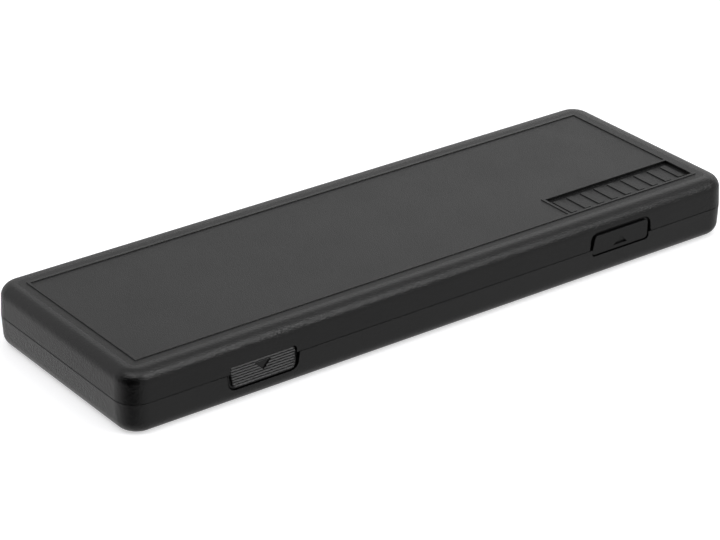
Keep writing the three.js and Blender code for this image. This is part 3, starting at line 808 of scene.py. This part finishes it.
def ramp(tree, value, stops):
    made = tree.nodes.new("ShaderNodeValToRGB")
    elements = made.color_ramp.elements
    while len(elements) < len(stops):
        elements.new(0.5)
    for element, (position, colour) in zip(elements, stops):
        element.position = position
        element.color = (*colour, 1) if len(colour) == 3 else colour
    link(tree, value, made.inputs["Fac"])
    return made.outputs["Color"]


def bump(tree, height, strength, distance, normal=None):
    made = node_of(tree, "ShaderNodeBump", Strength=strength, Distance=distance)
    link(tree, height, made.inputs["Height"])
    if normal is not None:
        link(tree, normal, made.inputs["Normal"])
    return made.outputs["Normal"]


def grey(value):
    """A grey that is a touch cool."""
    return (value, value, value * 1.02)


def varied(tree, shader, vector, colours, roughnesses, scale):
    """Slow changes of colour and roughness over the surface."""
    slow = grain(tree, vector, scale, 3)
    link(tree, ramp(tree, slow, [(0.3, colours[0]), (0.7, colours[1])]), shader.inputs["Base Color"])
    link(tree, ramp(tree, slow, [(0.3, grey(roughnesses[0])), (0.7, grey(roughnesses[1]))]),
         shader.inputs["Roughness"])


PITS_FINER = 2.7
PITS_SHALLOWER = 4


def moulded_plastic(name, colours, roughnesses, texture, slope, edge_radius=0.00012, specular=0.5):
    """Moulded plastic with a spark-eroded surface: fine pits over a coarser grain of the given slope.
    The texture is the coarse grain's scale, per metre."""
    made, tree, shader = material(name)
    vector = coordinates(tree)
    varied(tree, shader, vector, colours, roughnesses, 60)
    shader.inputs["IOR"].default_value = 1.5
    shader.inputs["Specular IOR Level"].default_value = specular
    edges = node_of(tree, "ShaderNodeBevel", Radius=edge_radius)
    edges.samples = 4
    deep = slope * (1 / texture)
    coarse = bump(tree, grain(tree, vector, texture, 1), 1, deep, edges.outputs["Normal"])
    fine = bump(tree, grain(tree, vector, texture * PITS_FINER, 1), 1, deep / PITS_SHALLOWER, coarse)
    link(tree, fine, shader.inputs["Normal"])
    return made


def foam_material():
    made, tree, shader = material("closed_cell_foam")
    vector = coordinates(tree)
    varied(tree, shader, vector, (grey(0.022), grey(0.034)), (0.9, 0.98), 300)
    shader.inputs["Specular IOR Level"].default_value = 0.3
    cells = node_of(tree, "ShaderNodeTexVoronoi", Scale=1400)
    link(tree, vector, cells.inputs["Vector"])
    pits = bump(tree, cells.outputs["Distance"], 0.8, 0.00018)
    skin = bump(tree, grain(tree, vector, 500, 4), 0.5, 0.00012, pits)
    link(tree, skin, shader.inputs["Normal"])
    return made


def metal(name, colour, roughnesses, stretch, strength=0.25, scale=900):
    """Metal with fine directional marks; the stretch sets their direction."""
    made, tree, shader = material(name)
    vector = coordinates(tree, stretch)
    shader.inputs["Metallic"].default_value = 1
    marks = grain(tree, vector, scale, 4, 0.6)
    darker = tuple(c * 0.86 for c in colour)
    link(tree, ramp(tree, marks, [(0.3, darker), (0.7, colour)]), shader.inputs["Base Color"])
    link(tree, ramp(tree, marks, [(0.3, grey(roughnesses[0])), (0.7, grey(roughnesses[1]))]),
         shader.inputs["Roughness"])
    link(tree, bump(tree, marks, strength, 0.00002), shader.inputs["Normal"])
    return made


def board_material():
    made, tree, shader = material("circuit_board")
    vector = coordinates(tree)
    tracks = node_of(tree, "ShaderNodeTexBrick", Scale=220, Mortar_Size=0.03)
    tracks.inputs["Color1"].default_value = (0.012, 0.10, 0.035, 1)
    tracks.inputs["Color2"].default_value = (0.010, 0.08, 0.028, 1)
    tracks.inputs["Mortar"].default_value = (0.03, 0.2, 0.07, 1)
    link(tree, vector, tracks.inputs["Vector"])
    link(tree, tracks.outputs["Color"], shader.inputs["Base Color"])
    shader.inputs["Roughness"].default_value = 0.3
    link(tree, bump(tree, tracks.outputs["Fac"], 0.3, 0.00003), shader.inputs["Normal"])
    return made


def display_material():
    made, tree, shader = material("display")
    vector = coordinates(tree)
    lines = grain(tree, vector, 700, 2)
    link(tree, ramp(tree, lines, [(0.35, (0.24, 0.28, 0.2)), (0.65, (0.29, 0.33, 0.24))]),
         shader.inputs["Base Color"])
    shader.inputs["Roughness"].default_value = 0.25
    return made


def window_material():
    made, tree, shader = material("clear_window")
    vector = coordinates(tree)
    link(tree, ramp(tree, grain(tree, vector, 200, 2), [(0.3, grey(0.03)), (0.7, grey(0.08))]),
         shader.inputs["Roughness"])
    shader.inputs["Base Color"].default_value = (0.95, 0.97, 0.97, 1)
    shader.inputs["Transmission Weight"].default_value = 1
    shader.inputs["IOR"].default_value = 1.49
    shader.inputs["Alpha"].default_value = 0.35
    return made


def rubber_material():
    made, tree, shader = material("rubber")
    vector = coordinates(tree)
    varied(tree, shader, vector, (grey(0.012), grey(0.02)), (0.75, 0.85), 150)
    link(tree, bump(tree, grain(tree, vector, 1500, 3), 0.3, 0.00004), shader.inputs["Normal"])
    return made


CASE = moulded_plastic("case_plastic", (grey(0.0022), grey(0.0034)), (0.17, 0.21), 1850, 0.3)
PANEL = moulded_plastic("case_panel_plastic", (grey(0.0022), grey(0.0034)), (0.36, 0.4), 2600, 0.3)
# A lighter copy of the case plastic for the grip's up-facing flanks: a painted highlight.
PAINTED_HIGHLIGHT_PLASTIC = moulded_plastic("painted_highlight_case_plastic", (grey(0.012), grey(0.026)), (0.3, 0.36), 2600, 0.2)
# The base's tongue: a finer-grained copy of the case plastic. Its darker base colour and lower specular level
# are painted shade.
SMOOTH = moulded_plastic("smooth_shaded_case_plastic", (grey(0.0018), grey(0.0026)), (0.24, 0.28), 2600, 0.15,
                         specular=0.4)
HOUSING = moulded_plastic("housing_plastic", (grey(0.016), grey(0.021)), (0.40, 0.48), 2200, 0.35)
KEYCAP = moulded_plastic("key_plastic", (grey(0.17), grey(0.21)), (0.45, 0.52), 2200, 0.25)
FOAM = foam_material()
PLATE = metal("brushed_plate", (0.62, 0.62, 0.63), (0.24, 0.36), (1, 45, 1), 0.35)
BRIGHT = metal("plated_steel", (0.62, 0.62, 0.64), (0.18, 0.28), (1, 1, 1), 0.1)
TURNED = metal("turned_steel", (0.66, 0.65, 0.63), (0.2, 0.32), (1, 1, 30), 0.25)
MILLED = metal("milled_aluminium", (0.76, 0.77, 0.79), (0.3, 0.42), (30, 1, 1), 0.3)
COPPER = metal("copper_alloy", (0.66, 0.42, 0.22), (0.25, 0.35), (1, 20, 1), 0.15)
BOARD = board_material()
DISPLAY = display_material()
WINDOW = window_material()
RUBBER = rubber_material()

NODE_MATERIALS = {
    "hinge_pin": BRIGHT, "housing_screw": BRIGHT, "carrier_screw": BRIGHT, "cell_screw": BRIGHT,
    "coin_cell": BRIGHT, "load_cell_ribbon": COPPER, "load_cell": MILLED, "strain_gauge": COPPER,
    "battery_contact": COPPER, "battery_cover": HOUSING, "plate_carrier": HOUSING, "lower_housing": HOUSING,
    "circuit_board": BOARD, "display_window": WINDOW, "display": DISPLAY, "key_mat": RUBBER,
    "rubber_foot": RUBBER,
}


def dress(piece, *materials):
    piece.data.materials.clear()
    for made in materials:
        piece.data.materials.append(made)


def dress_cad_nodes():
    """Each CAD node that stays takes the material whose key is the longest that starts its name."""
    for name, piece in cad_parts.items():
        keys = [key for key in NODE_MATERIALS if name.startswith(key)]
        if keys:
            made = NODE_MATERIALS[max(keys, key=len)]
            for slot in piece.material_slots:
                slot.material = made


def paint_crest_highlights(pad):
    """The up-facing flanks of the grip ribs take the second material, a lighter plastic. It is a painted
    highlight where light from above catches them.
    """
    for face in pad.data.polygons:
        if face.normal.z > 0.3 and face.normal.y < -0.5:
            face.material_index = 1


def dress_panel(lid):
    """The flat field inside the bead is a smoother texture than the border."""
    half_x = (BEAD_LENGTH / 2 - BEAD / 2) * MM
    half_y = (BEAD_WIDTH / 2 - BEAD / 2) * MM
    just_under = 0.1
    level = (HEIGHT - BADGE_DEEP - just_under) * MM
    for face in lid.data.polygons:
        x, y, z = face.center
        inside = abs(x) < half_x and abs(y - CASE_Y * MM) < half_y
        if inside and z > level and face.normal.z > 0.9:
            face.material_index = 1


# ---------------------------------------------------------------- putting the object together

def build_case():
    lid = lid_case()
    each_vertex(lid, lambda v: v + Vector((0, 0, PARTING)))
    dress(lid, CASE, PANEL)
    settle(lid, "lid", "case_plastic", "lid_shell", dy=CASE_Y)
    dress_panel(lid)

    base = base_case()
    each_vertex(base, lambda v: v + Vector((0, 0, PARTING)))
    dress(base, CASE)
    settle(base, "base", "case_plastic", "base_shell", dy=CASE_Y)

    upper = tongue("lid_tongue", ribbed=True)
    each_vertex(upper, lambda v: v + Vector((-LATCH_X, 0, PARTING)))
    dress(upper, CASE, PAINTED_HIGHLIGHT_PLASTIC)
    settle(upper, "lid_latch_tongue", "case_plastic", "lid_latch", dy=CASE_Y, smooth=8)
    # The up-facing flanks of the grip take the lighter plastic, a painted highlight.
    paint_crest_highlights(upper)

    lower = flip(tongue("base_tongue", ribbed=False))
    each_vertex(lower, lambda v: v + Vector((LATCH_X, 0, PARTING)))
    # The darker plastic on this tongue is painted shade.
    dress(lower, SMOOTH)
    settle(lower, "base_latch_tongue", "case_plastic", "base_latch", dy=CASE_Y, smooth=15)


def build_contents():
    liner = base_liner()
    dress(liner, FOAM)
    settle(liner, "base", "foam", "base_foam", smooth=180)
    liner = lid_liner()
    dress(liner, FOAM)
    settle(liner, "lid", "foam", "lid_foam", smooth=180)

    weight = weight_disc()
    dress(weight, TURNED)
    settle(weight, "base", "weight_steel", "calibration_weight", smooth=25)

    cover = top_cover()
    dress(cover, HOUSING)
    settle(cover, "base", "housing_plastic", "upper_housing")

    plate = slab_over("steel_plate", PLATE_LOW, PLATE_HIGH, PLATE_CORNER, PLATE_EDGE, both=True)
    dress(plate, PLATE)
    settle(plate, "weighing_platform", "plate_steel", "weighing_plate")

    for node, body in KEYS.items():
        cap = key_cap(node)
        dress(cap, KEYCAP)
        settle(cap, body, "key_plastic", node)


# ---------------------------------------------------------------- stage, light and camera

# The camera's angles are in degrees and its distance in metres. It aims at a point given in millimetres.
CAMERA_AZIMUTH = 36.412
CAMERA_ELEVATION = 26.554
CAMERA_DISTANCE = 0.89979
CAMERA_LENS = 137.5
SENSOR = 36
AIM = (-4.345, 2.06, 5.671)
FLOOR_SIZE = 6


def add_camera():
    azimuth = math.radians(CAMERA_AZIMUTH)
    elevation = math.radians(CAMERA_ELEVATION)
    level = math.cos(elevation)
    ahead = Vector((math.sin(azimuth) * level, math.cos(azimuth) * level, -math.sin(elevation)))
    aim = (Vector(AIM) + Vector((0, CASE_Y, 0))) * MM
    data = bpy.data.cameras.new("camera")
    data.sensor_width = SENSOR
    data.lens = CAMERA_LENS
    data.clip_start = 0.01
    data.clip_end = 20
    camera = bpy.data.objects.new("camera", data)
    bpy.context.scene.collection.objects.link(camera)
    camera.location = aim - ahead * CAMERA_DISTANCE
    camera.rotation_mode = "QUATERNION"
    camera.rotation_quaternion = ahead.to_track_quat("-Z", "Y")
    bpy.context.scene.camera = camera


def add_floor():
    """A pale table that glows a little itself. The studio and not the table shows in the gloss."""
    far = FLOOR_SIZE / 2
    floor = make("floor", [(-far, -far, 0), (far, -far, 0), (far, far, 0), (-far, far, 0)], [(0, 1, 2, 3)])
    made, tree, shader = material("floor")
    vector = coordinates(tree)
    link(tree, ramp(tree, grain(tree, vector, 8, 2), [(0.3, grey(0.90)), (0.7, grey(0.92))]),
         shader.inputs["Base Color"])
    shader.inputs["Roughness"].default_value = 0.9
    shader.inputs["Specular IOR Level"].default_value = 0.1
    shader.inputs["Emission Color"].default_value = (1, 1, 1, 1)
    shader.inputs["Emission Strength"].default_value = 0.55
    dress(floor, made)
    floor.visible_glossy = False


def add_softbox(name, position, size, power):
    data = bpy.data.lights.new(name, "AREA")
    data.shape = "RECTANGLE"
    data.size, data.size_y = size
    data.energy = power
    light = bpy.data.objects.new(name, data)
    bpy.context.scene.collection.objects.link(light)
    light.location = position
    light.rotation_mode = "QUATERNION"
    light.rotation_quaternion = (-Vector(position)).to_track_quat("-Z", "Y")


def math_node(tree, operation, first, second):
    made = tree.nodes.new("ShaderNodeMath")
    made.operation = operation
    for socket, value in zip(made.inputs, (first, second)):
        if isinstance(value, (int, float)):
            socket.default_value = value
        else:
            link(tree, value, socket)
    return made.outputs["Value"]


def lobe(tree, direction, axis, start, full, level):
    """A soft patch of the studio round an axis: 0 outside the start angle, the level inside the full one."""
    along = tree.nodes.new("ShaderNodeVectorMath")
    along.operation = "DOT_PRODUCT"
    link(tree, direction, along.inputs[0])
    along.inputs[1].default_value = Vector(axis).normalized()
    patch = tree.nodes.new("ShaderNodeMapRange")
    patch.interpolation_type = "SMOOTHSTEP"
    patch.inputs["From Min"].default_value = math.cos(math.radians(start))
    patch.inputs["From Max"].default_value = math.cos(math.radians(full))
    patch.inputs["To Min"].default_value = 0
    patch.inputs["To Max"].default_value = level
    link(tree, along.outputs["Value"], patch.inputs["Value"])
    return patch.outputs["Result"]


# Each patch of the studio: an axis, the angles from it where it starts and is full, and its radiance.
STUDIO_LEVEL = 0.45
PATCHES = {
    "back_left_wall": ((-0.48, 0.75, 0.75), 45, 15, 0.2),
    "back_right_wall": ((0.7, 0.55, 0.42), 38, 5, 0.4),
    "floor_behind": ((-0.48, 0.72, -0.62), 45, 20, 0.23),
    "ceiling": ((-0.05, -0.36, 0.93), 42, 24, 0.68),
    "front_fill": ((0.38, -0.5, 0.76), 22, 6, 0.56),
}
# DARK_FRONT is the same for a stretch that is left dark.
DARK_FRONT = ((-0.78, -0.58, 0.16), 62, 26, 1)

# Each softbox: its direction from the object, its size in metres and its power in watts.
SOFTBOX_DISTANCE = 1.2
SOFTBOXES = {
    "key": ((0.38, -0.71, 0.57), (0.34, 0.44), 2.0),
    "corner_light": ((-0.48, -0.22, 0.85), (0.24, 0.16), 1.3),
}


def add_light():
    world = bpy.data.worlds.new("studio")
    bpy.context.scene.world = world
    world.use_nodes = True
    tree = world.node_tree
    direction = tree.nodes.new("ShaderNodeTexCoord").outputs["Generated"]
    lit = STUDIO_LEVEL
    for patch in PATCHES.values():
        lit = math_node(tree, "ADD", lobe(tree, direction, *patch), lit)
    kept = math_node(tree, "SUBTRACT", 1, lobe(tree, direction, *DARK_FRONT))
    background = tree.nodes["Background"]
    background.inputs["Color"].default_value = (1, 1, 1, 1)
    link(tree, math_node(tree, "MULTIPLY", lit, kept), background.inputs["Strength"])
    for name, (towards, size, power) in SOFTBOXES.items():
        add_softbox(name, Vector(towards) * SOFTBOX_DISTANCE, size, power)


bpy.context.scene.view_settings.view_transform = "Standard"
add_camera()
build_case()
build_contents()
dress_cad_nodes()
add_floor()
add_light()
